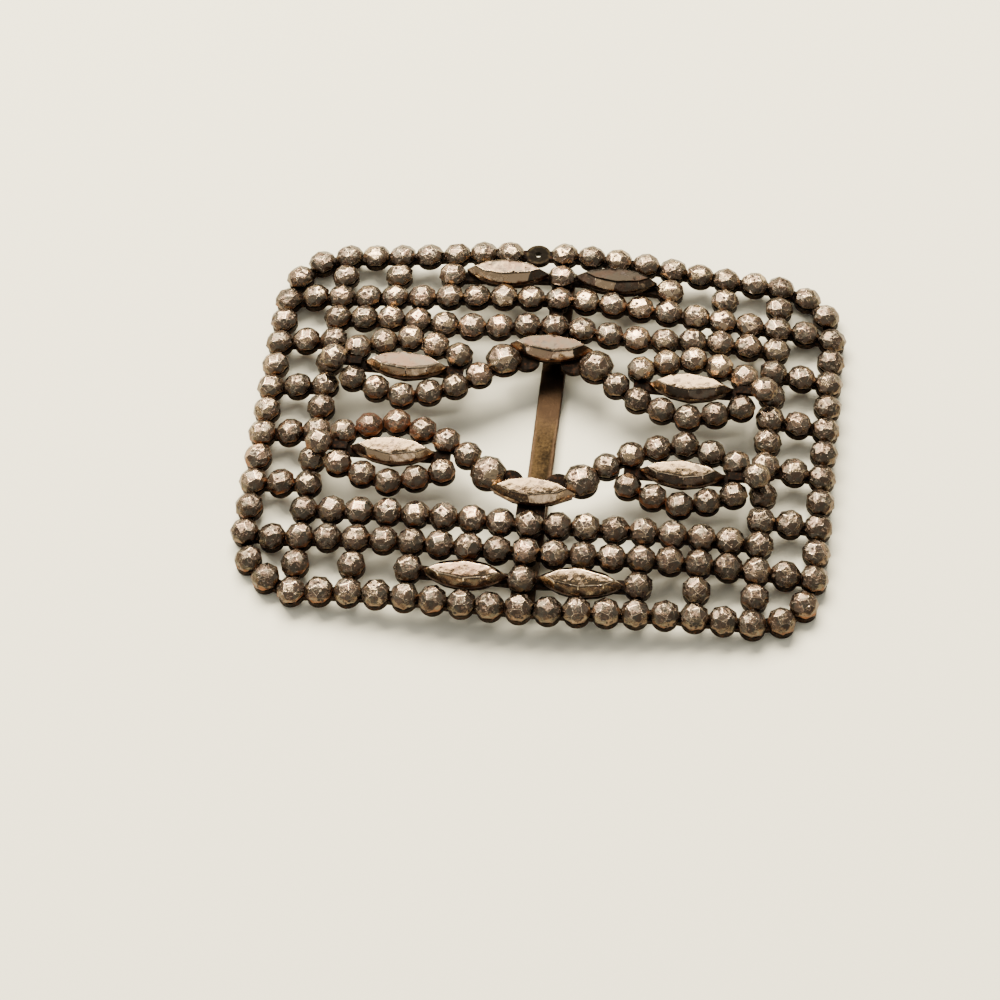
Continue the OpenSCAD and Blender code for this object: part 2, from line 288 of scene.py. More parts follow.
def lathe(bm, x, profile, wobble):
    """A round solid about x from radii and heights. wobble scales the radius on each of its sides."""
    sides = len(wobble)
    rings = []
    for r, z in profile:
        if r == 0:
            rings.append([bm.verts.new((x, 0, z))])
        else:
            rings.append([bm.verts.new((x + r * wobble[i] * math.cos(math.tau * i / sides),
                                        r * wobble[i] * math.sin(math.tau * i / sides), z))
                          for i in range(sides)])
    for a, b in zip(rings, rings[1:]):
        for i in range(sides):
            j = (i + 1) % sides
            if len(a) == 1:
                bm.faces.new((a[0], b[j], b[i]))
            elif len(b) == 1:
                bm.faces.new((a[i], a[j], b[0]))
            else:
                bm.faces.new((a[i], a[j], b[j], b[i]))


# A rivet's hammered end: shares of its radius, and heights from its lowest level.
PEEN_PROFILE = [(0, 0.02), (0.45, 0.015), (0.8, 0.02), (0.95, 0.06), (1, 0.13), (0.97, PEEN_T - 0.03),
                (0.88, PEEN_T), (0, PEEN_T)]
PEEN_SIDES = 24
PEEN_WOBBLE = 0.05
SHANK_SIDES = 16
SHANK_TOP = GAP + 0.02


def add_rivet(target, seat, values, rng, x=0.0):
    """The shank and the hammered end behind the plate, x along the piece from its middle."""
    bm = bmesh.new()
    foot = seat.low + PEEN_T
    shank = [(0, foot), (SHANK_R, foot), (SHANK_R, SHANK_TOP), (0, SHANK_TOP)]
    lathe(bm, x, shank, [1] * SHANK_SIDES)
    wobble = [1 - PEEN_WOBBLE * rng.random() for _ in range(PEEN_SIDES)]
    lathe(bm, x, [(share * PEEN_R, seat.low + z) for share, z in PEEN_PROFILE], wobble)
    into(target, bm, seat.matrix, dict(values, height=ALL_LOW))


# A head is cut from a block: rings of facets that touch an ellipsoid, given by how far they lean
# from the axis, their number, and where the first one stands in steps of the ring.
FACET_RINGS = [
    # lean, number, start, share of the ellipsoid, jitter of the lean, jitter of the share
    (28, 4, 0.0, 0.950, 5.0, 0.022),
    (48, 8, 0.5, 0.965, 5.0, 0.020),
    (70, 8, 0.0, 0.985, 3.5, 0.012),
]
FACET_TURN_JITTER = 4
TABLE_DROP = 0.02
TABLE_DROP_JITTER = 0.02
TABLE_LEAN_JITTER = 0.07
EQUATOR = 0.26
UNDERCUTS = 8
UNDERCUT_LEAN = 124
UNDERCUT_REACH = 1.02
UNDERCUT_JITTER = 3
HEAD_WELD = 0.025
EDGE_WEAR = 0.035
EDGE_WEAR_SPREAD = (0.7, 1.4)
FACET_MESH = 0.25
DENTS = (0, 0, 1, 1, 2, 2, 3, 4, 6)
HEAD_WEAR = (0.012, 0.040)
RUST_WEAR = 0.4
HEAD_HEIGHTS = (0.95, 1.0)
DOME_HEADS = (1.005, 1.034)
ARM_HEADS = (1.0, 1.022)
MOST_TILT = 8


def cut_head(radius, height, rng, lean, rust):
    """A head cut facet by facet, each facet a little off, as hand work is."""
    low, high = EQUATOR * height, (1 - EQUATOR) * height
    bm = new_blank(2 * radius, height)
    spin = rng.uniform(0, 90)

    def touch(azimuth, tilt, share):
        a, t = math.radians(azimuth), math.radians(tilt)
        reach = math.hypot(radius * math.sin(t), high * math.cos(t)) * share
        normal = lean @ leaning(a, t)
        cut(bm, normal, reach + low * normal.z)

    for tilt, number, start, share, tilt_off, share_off in reversed(FACET_RINGS):
        for i in range(number):
            touch(spin + 360 / number * (i + start) + jitter(rng, FACET_TURN_JITTER),
                  tilt + jitter(rng, tilt_off), share + jitter(rng, share_off))
    for i in range(UNDERCUTS):
        a = math.radians(spin + 360 / UNDERCUTS * i + jitter(rng, UNDERCUT_JITTER))
        t = math.radians(UNDERCUT_LEAN + jitter(rng, UNDERCUT_JITTER))
        cut(bm, leaning(a, t), UNDERCUT_REACH * radius * math.sin(t) + low * math.cos(t))
    table = Vector((jitter(rng, TABLE_LEAN_JITTER), jitter(rng, TABLE_LEAN_JITTER), 1)).normalized()
    cut(bm, lean @ table, high * (1 - TABLE_DROP + jitter(rng, TABLE_DROP_JITTER)) + low)
    bmesh.ops.remove_doubles(bm, verts=bm.verts[:], dist=HEAD_WELD)
    layer = tone_facets(bm, rng)
    soften(bm, layer, EDGE_WEAR * rng.uniform(*EDGE_WEAR_SPREAD))
    refine(bm, FACET_MESH)
    worn = min(rng.random() ** 2 + RUST_WEAR * rust, 1)
    wear(bm, rng, height, HEAD_WEAR[0] + (HEAD_WEAR[1] - HEAD_WEAR[0]) * worn, rng.choice(DENTS))
    for v in bm.verts:
        v.co.z = clamp(v.co.z, 0, height) + GAP
    return bm


# Where the rust sits: middle in pitches, reach in pitches and strength.
RUST = [
    ((-5.1, -1.4), 3.2, 0.95), ((-9.4, -2.5), 3.6, 0.55), ((-9.6, 3.0), 3.0, 0.35), ((0.0, 3.2), 2.4, 0.45),
    ((0.2, -2.6), 1.8, 0.6), ((4.4, -2.6), 2.6, 0.5), ((-3.0, -5.0), 3.0, 0.45), ((2.4, 4.6), 2.4, 0.45),
    ((9.4, -6.4), 2.6, 0.4), ((5.2, 1.0), 2.5, 0.35), ((-8.0, -6.6), 2.5, 0.5),
]
RUST_ALL_OVER = 0.16
RUST_AT_EDGE = 0.1
RUST_JITTER = 0.15


def rust_at(x, y, rng):
    amount = RUST_ALL_OVER
    for (u, w), reach, strength in RUST:
        d = math.hypot(x / PITCH - u, y / PITCH - w) / reach
        if d < 1:
            amount = max(amount, strength * (1 - d * d) + RUST_AT_EDGE)
    return clamp(amount + jitter(rng, RUST_JITTER))


# How far the heads of a row lean towards the top edge: where the row stands in pitches, and degrees.
ROW_LEANS = [(-7.9, -6), (-6.2, -5), (-4.9, -2), (0, 0), (4.4, 0), (5.2, 3), (6.6, 8), (8.0, 10)]


def row_lean(w):
    for (w0, a0), (w1, a1) in zip(ROW_LEANS, ROW_LEANS[1:]):
        if w0 <= w <= w1:
            return a0 + (a1 - a0) * (w - w0) / (w1 - w0)
    return ROW_LEANS[0][1] if w < 0 else ROW_LEANS[-1][1]


# Painted light: the studs are painted brightest round the middle of the upper rows, where the light falls
# brightest, and painted darker and filmier by so much further away, as a painted falloff of the light. The
# middle, the half widths of the lit part and of the fade round it are in millimetres.
LIT_Y, LIT_HALF_Y, FADE_Y = 14, 5, 5
LIT_HALF_X, FADE_X = 20, 6
PAINTED_FALLOFF_MOST = 0.90


# Painted shade: nothing in the lit middle, growing with the distance from it.
def painted_falloff(x, y):
    return PAINTED_FALLOFF_MOST * clamp(max((abs(y - LIT_Y) - LIT_HALF_Y) / FADE_Y, (abs(x) - LIT_HALF_X) / FADE_X))


def dress_studs(node, on_dome, height, material, seed):
    rng = random.Random(seed)
    target = new_target()
    for points in loose_solids(node):
        seat = Seat(points, on_dome, height)
        x, y = seat.base.x, seat.base.y
        # The tone is the stud's random dullness plus the painted falloff of the light.
        values = {"height": height, "tone": rng.random() + painted_falloff(x, y), "rust": rust_at(x, y, rng),
                  "seed": rng.random()}
        back = Matrix.Rotation(-math.radians(row_lean(y / PITCH)), 3, "X")
        off = Matrix.Rotation(math.radians(rng.uniform(0, MOST_TILT)), 3,
                              Vector((jitter(rng, 1), jitter(rng, 1), 0)).normalized())
        radius = seat.radius * rng.uniform(*(DOME_HEADS if on_dome else ARM_HEADS))
        head = cut_head(radius, height * rng.uniform(*HEAD_HEIGHTS), rng, off @ back, values["rust"])
        into(target, head, seat.matrix, values)
        add_rivet(target, seat, values, rng)
    finish_piece(target, material, node)


# A marquise is cut from a lens-shaped block with these shares of the CAD's length, width and height.
MARQUISE_SHARES = (0.99, 0.985, 0.99)
# Its side facets, as shares of the half arc of each side, and how much each leans.
LENS_FACETS = [(-0.76, 60), (-0.25, 56), (0.25, 56), (0.76, 60)]
LENS_FACET_JITTER = (1.5, 3)
LENS_SIDES = 16
LENS_GIRDLE = 0.34
GIRDLE_JITTER = 0.04
TABLE_LEVEL = 0.985
TABLE_TURN_JITTER = 0.02
MARQUISE_WELD = 0.02
MARQUISE_EDGE = 0.085
MARQUISE_MESH = 0.32
MARQUISE_WEAR = 0.02
MARQUISE_DENTS = 4
MARQUISE_RIVET = 0.6
SEED_SPREAD = 0.1
FACES_UP = 0.9
SIDE_TONES = (0.1, 0.3, 0.3, 0.9, 1.0)
SIDE_TONE_JITTER = 0.1
# How far a table falls away towards its ends and its sides.
TABLE_BULGE = (0.16, 0.09)
# Each marquise: how far its table leans towards the top edge in degrees, and how bright and how rusty it is.
TABLES = {
    "upper_left_border": (0, 0.55, 0.3), "upper_right_border": (1, -1.40, 0.15),
    "upper_centre": (1, -0.45, 0.6), "lower_centre": (-3, 0.85, 0.35),
    "upper_left_rosette": (1, -0.10, 0.35), "upper_right_rosette": (-1, 0.75, 0.2),
    "lower_left_rosette": (-3, 0.85, 0.5), "lower_right_rosette": (-3, 0.92, 0.3),
    "lower_left_border": (3, 0.95, 0.65), "lower_right_border": (2, 0.75, 0.35),
}


def cut_marquise(rng, lean, table_tone):
    """A marquise cut from a lens-shaped block: four sloped facets along each side of a long table."""
    l, w, h = (size * share for size, share in zip((MARQUISE_L, MARQUISE_W, MARQUISE_H), MARQUISE_SHARES))
    bm = new_blank(l, h)
    arc_r = (l * l + w * w) / (4 * w)
    half = math.degrees(math.asin(l / 2 / arc_r))
    for side in (90, -90):
        middle = Vector((0, math.copysign(arc_r - w / 2, -side), 0))
        for i in range(LENS_SIDES):
            a = math.radians(side + half * ((i + 0.5) / LENS_SIDES * 2 - 1))
            n = Vector((math.cos(a), math.sin(a), 0))
            cut(bm, n, n.dot(n * arc_r + middle))
        for share, tilt in LENS_FACETS:
            a = math.radians(side + half * share + jitter(rng, LENS_FACET_JITTER[0]))
            n = leaning(a, math.radians(tilt + jitter(rng, LENS_FACET_JITTER[1])))
            on_arc = Vector((math.cos(a), math.sin(a), 0)) * arc_r + middle
            cut(bm, n, n.dot(on_arc + Vector((0, 0, h * (LENS_GIRDLE + jitter(rng, GIRDLE_JITTER))))))
    table = Vector((jitter(rng, TABLE_TURN_JITTER), 0, 1)).normalized()
    n = Matrix.Rotation(-math.radians(lean), 3, "X") @ table
    cut(bm, n, n.dot(Vector((0, 0, h * TABLE_LEVEL))))
    bmesh.ops.remove_doubles(bm, verts=bm.verts[:], dist=MARQUISE_WELD)
    bm.normal_update()
    layer = tone_facets(bm, rng)
    for f in bm.faces:
        is_table = f.normal.z > FACES_UP
        f[layer] = table_tone if is_table else rng.choice(SIDE_TONES) + jitter(rng, SIDE_TONE_JITTER)
    soften(bm, layer, MARQUISE_EDGE, segments=2)
    refine(bm, MARQUISE_MESH, rounds=4)
    wear(bm, rng, h, MARQUISE_WEAR, MARQUISE_DENTS)
    for v in bm.verts:
        bulge = TABLE_BULGE[0] * (2 * v.co.x / l) ** 2 + TABLE_BULGE[1] * (2 * v.co.y / w) ** 2
        v.co.z = clamp(v.co.z - bulge * v.co.z / h, 0, MARQUISE_H) + 2 * GAP
    return bm


def dress_marquise(node, on_dome, material, seed):
    rng = random.Random(seed)
    lean, tone, rust = TABLES[node.replace("_marquise", "")]
    seat = Seat(loose_solids(node)[0], on_dome, MARQUISE_H + GAP)
    target = new_target()
    values = {"height": MARQUISE_H, "tone": 1 - tone, "rust": rust,
              "seed": rust + SEED_SPREAD * rng.random()}
    into(target, cut_marquise(rng, lean, tone), seat.matrix, values)
    for side in (-1, 1):
        add_rivet(target, seat, values, rng, side * MARQUISE_RIVET * PITCH)
    finish_piece(target, material, node)


# The bar, in millimetres.
BAR_BEVEL = 0.16
BAR_MESH = 0.5
BAR_WEAR = 0.03
BAR_WEAR_LEVEL = 0.7
BAR_WAVES = 0.9
BAR_WELD = 0.001
LONG_EDGE = 1
SHARP = math.radians(25)
FLAT = math.radians(1)
BAR_VALUES = {"height": 1, "tone": 0.5, "rust": 0.2, "seed": 0.5}


def dress_bar(node, material):
    """The same bar with its long edges worn round and its faces a little uneven."""
    bm = bmesh.new()
    bm.from_mesh(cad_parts[node].data)
    for v in bm.verts:
        v.co /= MM
    bmesh.ops.remove_doubles(bm, verts=bm.verts[:], dist=BAR_WELD)
    bmesh.ops.dissolve_limit(bm, angle_limit=FLAT, verts=bm.verts[:], edges=bm.edges[:])
    bm.normal_update()
    long_edges = [e for e in bm.edges
                  if e.is_manifold and e.calc_length() > LONG_EDGE and e.calc_face_angle() > SHARP]
    bmesh.ops.bevel(bm, geom=long_edges, offset=BAR_BEVEL, segments=3, profile=ROUND, affect="EDGES",
                    clamp_overlap=True)
    refine(bm, BAR_MESH, rounds=6)
    bm.normal_update()
    moves = [(v, v.normal * BAR_WEAR * (noise.noise(v.co * BAR_WAVES) - BAR_WEAR_LEVEL)) for v in bm.verts]
    for v, move in moves:
        v.co += move
    target = new_target()
    into(target, bm, Matrix.Identity(4), BAR_VALUES)
    finish_piece(target, material, node)


# Materials.
MIX_SOCKETS = {"RGBA": (6, 7, 2), "FLOAT": (2, 3, 0)}


def rgba(colour, tint=(1, 1, 1)):
    return (*(c * t for c, t in zip(colour, tint)), 1)


class Nodes:
    """A short way to write a node tree."""

    def __init__(self, owner):
        self.owner = owner
        owner.use_nodes = True
        self.tree = owner.node_tree
        self.tree.nodes.clear()

    def put(self, socket, value):
        """Links a socket, or sets a plain value."""
        if isinstance(value, bpy.types.NodeSocket):
            self.tree.links.new(value, socket)
        else:
            socket.default_value = value

    def add(self, kind, inputs=None, **options):
        node = self.tree.nodes.new(kind)
        for k, v in options.items():
            setattr(node, k, v)
        for k, v in (inputs or {}).items():
            self.put(node.inputs[k], v)
        return node

    def place(self):
        return self.add("ShaderNodeTexCoord").outputs["Object"]

    def split(self, vector):
        return self.add("ShaderNodeSeparateXYZ", {0: vector}).outputs

    def shift(self, vector, by):
        return self.add("ShaderNodeVectorMath", {0: vector, 1: by}, operation="ADD").outputs[0]

    def scale(self, vector, factor):
        return self.add("ShaderNodeVectorMath", {0: vector, 3: factor}, operation="SCALE").outputs[0]

    def noise(self, vector, scale, detail, rough, distort=0.0, output="Fac"):
        inputs = {"Vector": vector, "Scale": scale, "Detail": detail, "Roughness": rough,
                  "Distortion": distort}
        return self.add("ShaderNodeTexNoise", inputs).outputs[output]

    def ramp(self, value, low, high, a=0.0, b=1.0):
        """A smooth way from a to b while value goes from low to high."""
        inputs = {"Value": value, "From Min": low, "From Max": high, "To Min": a, "To Max": b}
        return self.add("ShaderNodeMapRange", inputs, interpolation_type="SMOOTHSTEP").outputs["Result"]

    def math(self, op, a, b=0.5, clamp=False):
        return self.add("ShaderNodeMath", {0: a, 1: b}, operation=op, use_clamp=clamp).outputs[0]

    def weighted(self, *pairs):
        """The sum of some values, each times its weight."""
        parts = [self.math("MULTIPLY", value, weight) for value, weight in pairs]
        total = parts[0]
        for part in parts[1:]:
            total = self.math("ADD", total, part)
        return total

    def mix(self, fac, a, b, kind="RGBA"):
        node = self.add("ShaderNodeMix", data_type=kind)
        first, second, result = MIX_SOCKETS[kind]
        for socket, value in ((0, fac), (first, a), (second, b)):
            self.put(node.inputs[socket], value)
        return node.outputs[result]

    def mix_value(self, fac, a, b):
        return self.mix(fac, a, b, "FLOAT")

    def attribute(self, name):
        return self.add("ShaderNodeAttribute", attribute_name=name).outputs["Fac"]

    def bump(self, strength, distance, height):
        inputs = {"Strength": strength, "Distance": distance, "Height": height}
        return self.add("ShaderNodeBump", inputs).outputs[0]

    def surface(self, inputs):
        shader = self.add("ShaderNodeBsdfPrincipled", inputs)
        self.add("ShaderNodeOutputMaterial", {"Surface": shader.outputs[0]})
        return self.owner


# The looks of the cut steel: the clean metal, and the brown film over it. From side_top of the height down,
# side_film is how much more film the sides have, and the painted sheen how bright their clean and their
# brown parts are, where that isn't the piece's own level: it paints the marquises' sides lighter than their
# tables. grain is how fine the marks are, pitted how many pits there are, and the edges are worn bright
# between the two heights in bare.
STUD_LOOK = {
    "clean": (0.46, 0.328, 0.188), "film": (0.148, 0.111, 0.077), "side_film": 0.12, "side_top": 0.88,
    "painted_side_sheen": None, "grain": 1.0, "pitted": 1.0, "bare": (0.58, 0.82),
}
MARQUISE_LOOK = {
    "clean": (0.096, 0.066, 0.038), "film": (0.050, 0.036, 0.025), "side_film": 0.0, "side_top": 0.97,
    "painted_side_sheen": (6.5, 2.0), "grain": 0.55, "pitted": 0.35, "bare": (0.76, 0.88),
}
# How stained the marquises' sides are, whatever their tables are like, and how soon below the table.
SIDE_STAIN = 0.2
SIDE_FADE = 0.1
SIDE_FILM_FADE = 0.2
# Noises: scale for each metre, detail, roughness and distortion.
STEEL_CLOUDS = (900, 5, 0.62)
STEEL_BLOTCHES = (2300, 4, 0.65, 0.6)
STEEL_SPECKS = (6500, 3, 0.7)
STEEL_OLIVE = (1400, 3, 0.6)
PIT_RAGGED = (5000, 3, 0.7)
PIT_RAGGED_REACH = 0.00035
PIT_SCALE = 1900.0
# Where each mark starts and where it is full, on the scale of what drives it.
FILM_MARK = (0.54, 0.70)
EDGE_MARK = (1.05, 1.25)
POLISH_MARK = (0.32, 0.52)
PINK_MARK = (0.5, 0.75)
OLIVE_MARK = (0.42, 0.60)
PIT_MARK = (0.42, 0.26)
PIT_FIELD_MARK = (0.46, 0.55)
RIM_MARK = (0.14, -0.06)
RED_CRUST_MARK = (0.30, 0.60)
DARK_CRUST_MARK = (0.54, 0.66)
RUST_MARK = (0.76, 0.88)
TABLE_RUST_MARK = (0.98, 0.84)
# What drives the film, by its shares: the stud's own tone, which on the studs holds the painted falloff of
# the light as well, the facet's, the blotches and the specks.
STAIN_AND_FALLOFF_SHARE, FACET_SHARE, BLOTCH_SHARE, SPECK_SHARE = 0.16, 0.50, 0.55, 0.14
# The same for the other marks, each in the order that it is added up in.
PINK_SHARES = (0.5, 0.6)
RUST_SHARES = (0.46, 0.50, 0.25)
RED_CRUST_SHARES = (0.7, 0.5)
BUMP_SHARES = (0.7, 0.22, -0.7)
# How much rust a table keeps, and how dark the crust's dark specks are at most.
TABLE_RUST = 0.25
DARK_CRUST_MOST = 0.7
# The middle that a noise wanders about.
NOISE_MIDDLE = 0.5
# How bright the cleanest stud is, how bright one of the darkest tone, and how much of that its film takes.
# On the studs the tone holds the painted falloff of the light as well as their random dullness.
LEVELS = (1.18, 0.14)
FILM_LEVEL_SHARE = 0.5
DARKEST_TONE = 2.6
# The rim's height, how much higher it climbs with rust, and how much it wanders.
RIM_HEIGHT, RIM_CLIMB, RIM_WANDER = 0.20, 0.30, 0.9
# Colours, and tints that multiply one.
PINK_TINT = (0.97, 0.85, 0.90)
RED_FILM_TINT = (1.05, 0.92, 0.86)
OLIVE_FILM_TINT = (0.95, 1.03, 1.03)
POLISHED = (0.72, 0.54, 0.34)
CRUST_BROWN = (0.072, 0.044, 0.028)
CRUST_RED = (0.155, 0.062, 0.025)
CRUST_DARK = (0.034, 0.016, 0.008)
RUST_DARK = (0.060, 0.020, 0.007)
RUST_LIGHT = (0.15, 0.055, 0.022)
PIT_DARK = (0.026, 0.014, 0.008)
# Roughness.
CLEAN_ROUGH, FILM_ROUGH, RUST_ROUGH, PIT_ROUGH = 0.13, 0.23, 0.32, 0.7
# How much less than metal the rust, the pits and the rim are.
RUST_DULL, PIT_DULL, RIM_DULL = 0.4, 0.6, 0.15
STEEL_BUMP = 0.72
STEEL_BUMP_M = 0.00013


def steel_under_film(n, look, piece, clouds, blotches, specks, where):
    """The colour of steel and film together, and how much film there is at each place."""
    clean, film, side_top = look["clean"], look["film"], look["side_top"]
    low, tone, seed = piece["low"], piece["tone"], piece["seed"]
    edge = n.ramp(piece["facet"], *EDGE_MARK)
    high = n.ramp(low, *look["bare"])
    # Painted shade too: the brightness falls with the tone, and so with the painted falloff of the light.
    level = n.ramp(tone, 0.0, DARKEST_TONE, *LEVELS)
    levels = [level, n.mix_value(FILM_LEVEL_SHARE, level, 1.0)]
    stain_and_falloff = tone
    if look["painted_side_sheen"]:
        on_side = n.ramp(low, side_top, side_top - SIDE_FADE)
        # Painted sheen: the marquises' sides get brightness levels of their own, lighter than their tables.
        levels = [n.mix_value(on_side, level, k) for k in look["painted_side_sheen"]]
        stain_and_falloff = n.mix_value(on_side, tone, SIDE_STAIN)
    # The film: more on some studs, and more where the painted falloff of the light darkens them, more on
    # some facets, mottled, worn off the edges.
    facet_stain = n.math("SUBTRACT", 1.0, n.mix_value(edge, piece["facet"], high))
    dull = n.weighted((stain_and_falloff, STAIN_AND_FALLOFF_SHARE), (facet_stain, FACET_SHARE))
    dull = n.math("ADD", dull, n.ramp(low, side_top, side_top - SIDE_FILM_FADE, 0, look["side_film"]))
    mottle = n.weighted((blotches, BLOTCH_SHARE), (specks, SPECK_SHARE))
    film_fac = n.ramp(n.math("ADD", mottle, dull), *FILM_MARK)
    # The clean metal: pinkish in places, and polished on the edges.
    pink = n.ramp(n.weighted(*zip((seed, clouds), PINK_SHARES)), *PINK_MARK)
    clean_now = n.scale(n.mix(pink, rgba(clean), rgba(clean, PINK_TINT)), levels[0])
    polished = n.math("MULTIPLY", n.math("MULTIPLY", edge, high), n.ramp(blotches, *POLISH_MARK))
    clean_now = n.mix(polished, clean_now, rgba(POLISHED))
    # The film's colour goes from red to olive brown.
    olive = n.ramp(n.noise(where, *STEEL_OLIVE), *OLIVE_MARK)
    film_now = n.scale(n.mix(olive, rgba(film, RED_FILM_TINT), rgba(film, OLIVE_FILM_TINT)), levels[1])
    return n.mix(film_fac, clean_now, film_now), film_fac


def worn_steel(name, look):
    """Polished steel facets under a brown film, pitted, with red brown rims and rust in patches."""
    n = Nodes(bpy.data.materials.new(name))
    piece = {k: n.attribute(k) for k in ("low", "facet") + LAYERS}
    low, rust, seed = piece["low"], piece["rust"], piece["seed"]
    apart = n.add("ShaderNodeCombineXYZ", {0: seed, 1: seed, 2: seed}).outputs[0]
    where = n.scale(n.shift(n.place(), apart), look["grain"])
    clouds, blotches, specks = (n.noise(where, *k) for k in (STEEL_CLOUDS, STEEL_BLOTCHES, STEEL_SPECKS))
    colour, film_fac = steel_under_film(n, look, piece, clouds, blotches, specks, where)
    # Rust over the facets, in patches by the piece's own amount, and less of it on the tables.
    rust_fac = n.ramp(n.weighted(*zip((rust, clouds, blotches), RUST_SHARES)), *RUST_MARK)
    rust_fac = n.math("MULTIPLY", rust_fac, n.ramp(low, *TABLE_RUST_MARK, TABLE_RUST, 1.0))
    colour = n.mix(rust_fac, colour, n.mix(specks, rgba(RUST_DARK), rgba(RUST_LIGHT)))
    # The rim: a glossy red brown crust that climbs higher where the piece is rusty.
    wander = n.math("MULTIPLY", n.math("SUBTRACT", clouds, NOISE_MIDDLE), RIM_WANDER)
    rim_top = n.math("ADD", RIM_HEIGHT, n.math("MULTIPLY", rust, RIM_CLIMB))
    rim_fac = n.ramp(n.math("SUBTRACT", n.math("ADD", low, wander), rim_top), *RIM_MARK)
    crust_red = n.ramp(n.weighted(*zip((rust, blotches), RED_CRUST_SHARES)), *RED_CRUST_MARK)
    crust = n.mix(crust_red, rgba(CRUST_BROWN), rgba(CRUST_RED))
    crust = n.mix(n.ramp(specks, *DARK_CRUST_MARK, 0, DARK_CRUST_MOST), crust, rgba(CRUST_DARK))
    colour = n.mix(rim_fac, colour, crust)
    # Pits: small dark spots with ragged edges, in clusters.
    ragged = n.scale(n.noise(where, *PIT_RAGGED, output="Color"), PIT_RAGGED_REACH)
    cells = n.add("ShaderNodeTexVoronoi", {"Vector": n.shift(where, ragged), "Scale": PIT_SCALE})
    fields = n.ramp(clouds, *PIT_FIELD_MARK, 0, look["pitted"])
    pits = n.math("MULTIPLY", n.ramp(cells.outputs["Distance"], *PIT_MARK), fields)
    colour = n.mix(pits, colour, rgba(PIT_DARK))
    dirt = n.math("MAXIMUM", n.math("MULTIPLY", rust_fac, RUST_DULL), n.math("MULTIPLY", pits, PIT_DULL))
    dirt = n.math("MAXIMUM", dirt, n.math("MULTIPLY", rim_fac, RIM_DULL))
    rough = n.mix_value(film_fac, CLEAN_ROUGH, FILM_ROUGH)
    rough = n.mix_value(n.math("MAXIMUM", rust_fac, rim_fac), rough, RUST_ROUGH)
    rough = n.mix_value(pits, rough, PIT_ROUGH)
    height = n.weighted(*zip((blotches, specks, pits), BUMP_SHARES))
    return n.surface({"Base Color": colour, "Metallic": n.math("SUBTRACT", 1.0, dirt, clamp=True),
                      "Roughness": rough,
                      "Normal": n.bump(STEEL_BUMP * look["pitted"], STEEL_BUMP_M, height)})


# The plate's patina, and painted shade on its faces that look up. Where the stud is missing, its bare lobe
# shows more of the brass. In millimetres.
BARE_LOBE = (-3.2, 24.12)
BARE_LOBE_EDGE = (1.5, 1.3)
BARE_LOBE_RIM = (1.0, 1.4)
PLATE_CLOUDS = (420, 5, 0.6)
PLATE_SPECKS = (2600, 4, 0.65)
PLATE_PATINA = (0.011, 0.007, 0.0045)
PLATE_BRASSY = (0.022, 0.014, 0.008)
PLATE_RUSTY = (0.045, 0.016, 0.006)
LOBE_MIDDLE = (0.005, 0.0035, 0.0016)
LOBE_RIM = (0.030, 0.021, 0.010)
PLATE_SHARES = (0.6, 0.4)
PLATE_BRASSY_MARK = (0.46, 0.62)
PLATE_RUSTY_MARK = (0.52, 0.64)
PLATE_TOP_SHADE_MARK = (0.5, 0.9)
PLATE_TOP_SHADE_LEVEL = 0.40
BARE_MARK = (0.35, 0.55)
PLATE_METALLIC = 0.95
PLATE_ROUGH = (0.74, 0.60)
PLATE_BUMP_M = 0.00008
SPECK_BUMP = 0.5


def plate_metal():
    """Dark brown patinated metal with a brassy shine in patches, and painted shade on the faces that look
    up, which darkens it between the heads.
    """
    n = Nodes(bpy.data.materials.new("plate_metal"))
    where = n.place()
    clouds, specks = n.noise(where, *PLATE_CLOUDS), n.noise(where, *PLATE_SPECKS)
    brassy = n.ramp(n.weighted(*zip((clouds, specks), PLATE_SHARES)), *PLATE_BRASSY_MARK)
    colour = n.mix(brassy, rgba(PLATE_PATINA), rgba(PLATE_BRASSY))
    colour = n.mix(n.ramp(specks, *PLATE_RUSTY_MARK), colour, rgba(PLATE_RUSTY))
    # Painted shade: the faces that look up are darkened, against the lamp's reflection in them.
    up = n.split(n.add("ShaderNodeNewGeometry").outputs["Normal"])[2]
    colour = n.scale(colour, n.ramp(up, *PLATE_TOP_SHADE_MARK, 1.0, PLATE_TOP_SHADE_LEVEL))
    away = [n.math("POWER", n.math("SUBTRACT", k, middle * MM), 2.0)
            for k, middle in zip(n.split(where), BARE_LOBE)]
    away = n.math("SQRT", n.math("ADD", *away))
    bare = n.ramp(away, *(k * MM for k in BARE_LOBE_EDGE))
    bare = n.math("MULTIPLY", bare, n.ramp(specks, *BARE_MARK))
    rim = n.ramp(away, *(k * MM for k in BARE_LOBE_RIM))
    colour = n.mix(bare, colour, n.mix(rim, rgba(LOBE_MIDDLE), rgba(LOBE_RIM)))
    return n.surface({"Base Color": colour, "Metallic": PLATE_METALLIC,
                      "Roughness": n.mix_value(brassy, *PLATE_ROUGH),
                      "Normal": n.bump(SPECK_BUMP, PLATE_BUMP_M, specks)})


# The bar's patina and its painted shade. Lengths in metres.
BAR_X = 0.0002
BAR_CLOUDS = (380, 5, 0.6)
BAR_SPECKS = (3200, 4, 0.7)
BAR_GOLDEN = (0.021, 0.0128, 0.0052)
BAR_STAINED = (0.0095, 0.0062, 0.0031)
BAR_SHADE_DARK = (0.026, 0.016, 0.009)
BAR_SHADE_LIGHT = (0.050, 0.029, 0.016)
BAR_STRETCH = (1, 0.6, 1)
BAR_SHARES = (0.62, 0.38)
BAR_ROUGH = (0.42, 0.6)
BAR_BUMP_M = 0.0001
BAR_STAIN_MARK = (0.42, 0.62)
BAR_TOP_SHADE = (-0.0015, 0.0070)
BAR_BOTTOM_SHADE = (-0.0085, -0.0135)
BAR_EDGE_SHADE = (0.0008, 0.0013)
BAR_END_WANDER = 0.009
BAR_EDGE_WANDER = 0.0008
BAR_EDGE_MOST = 0.85


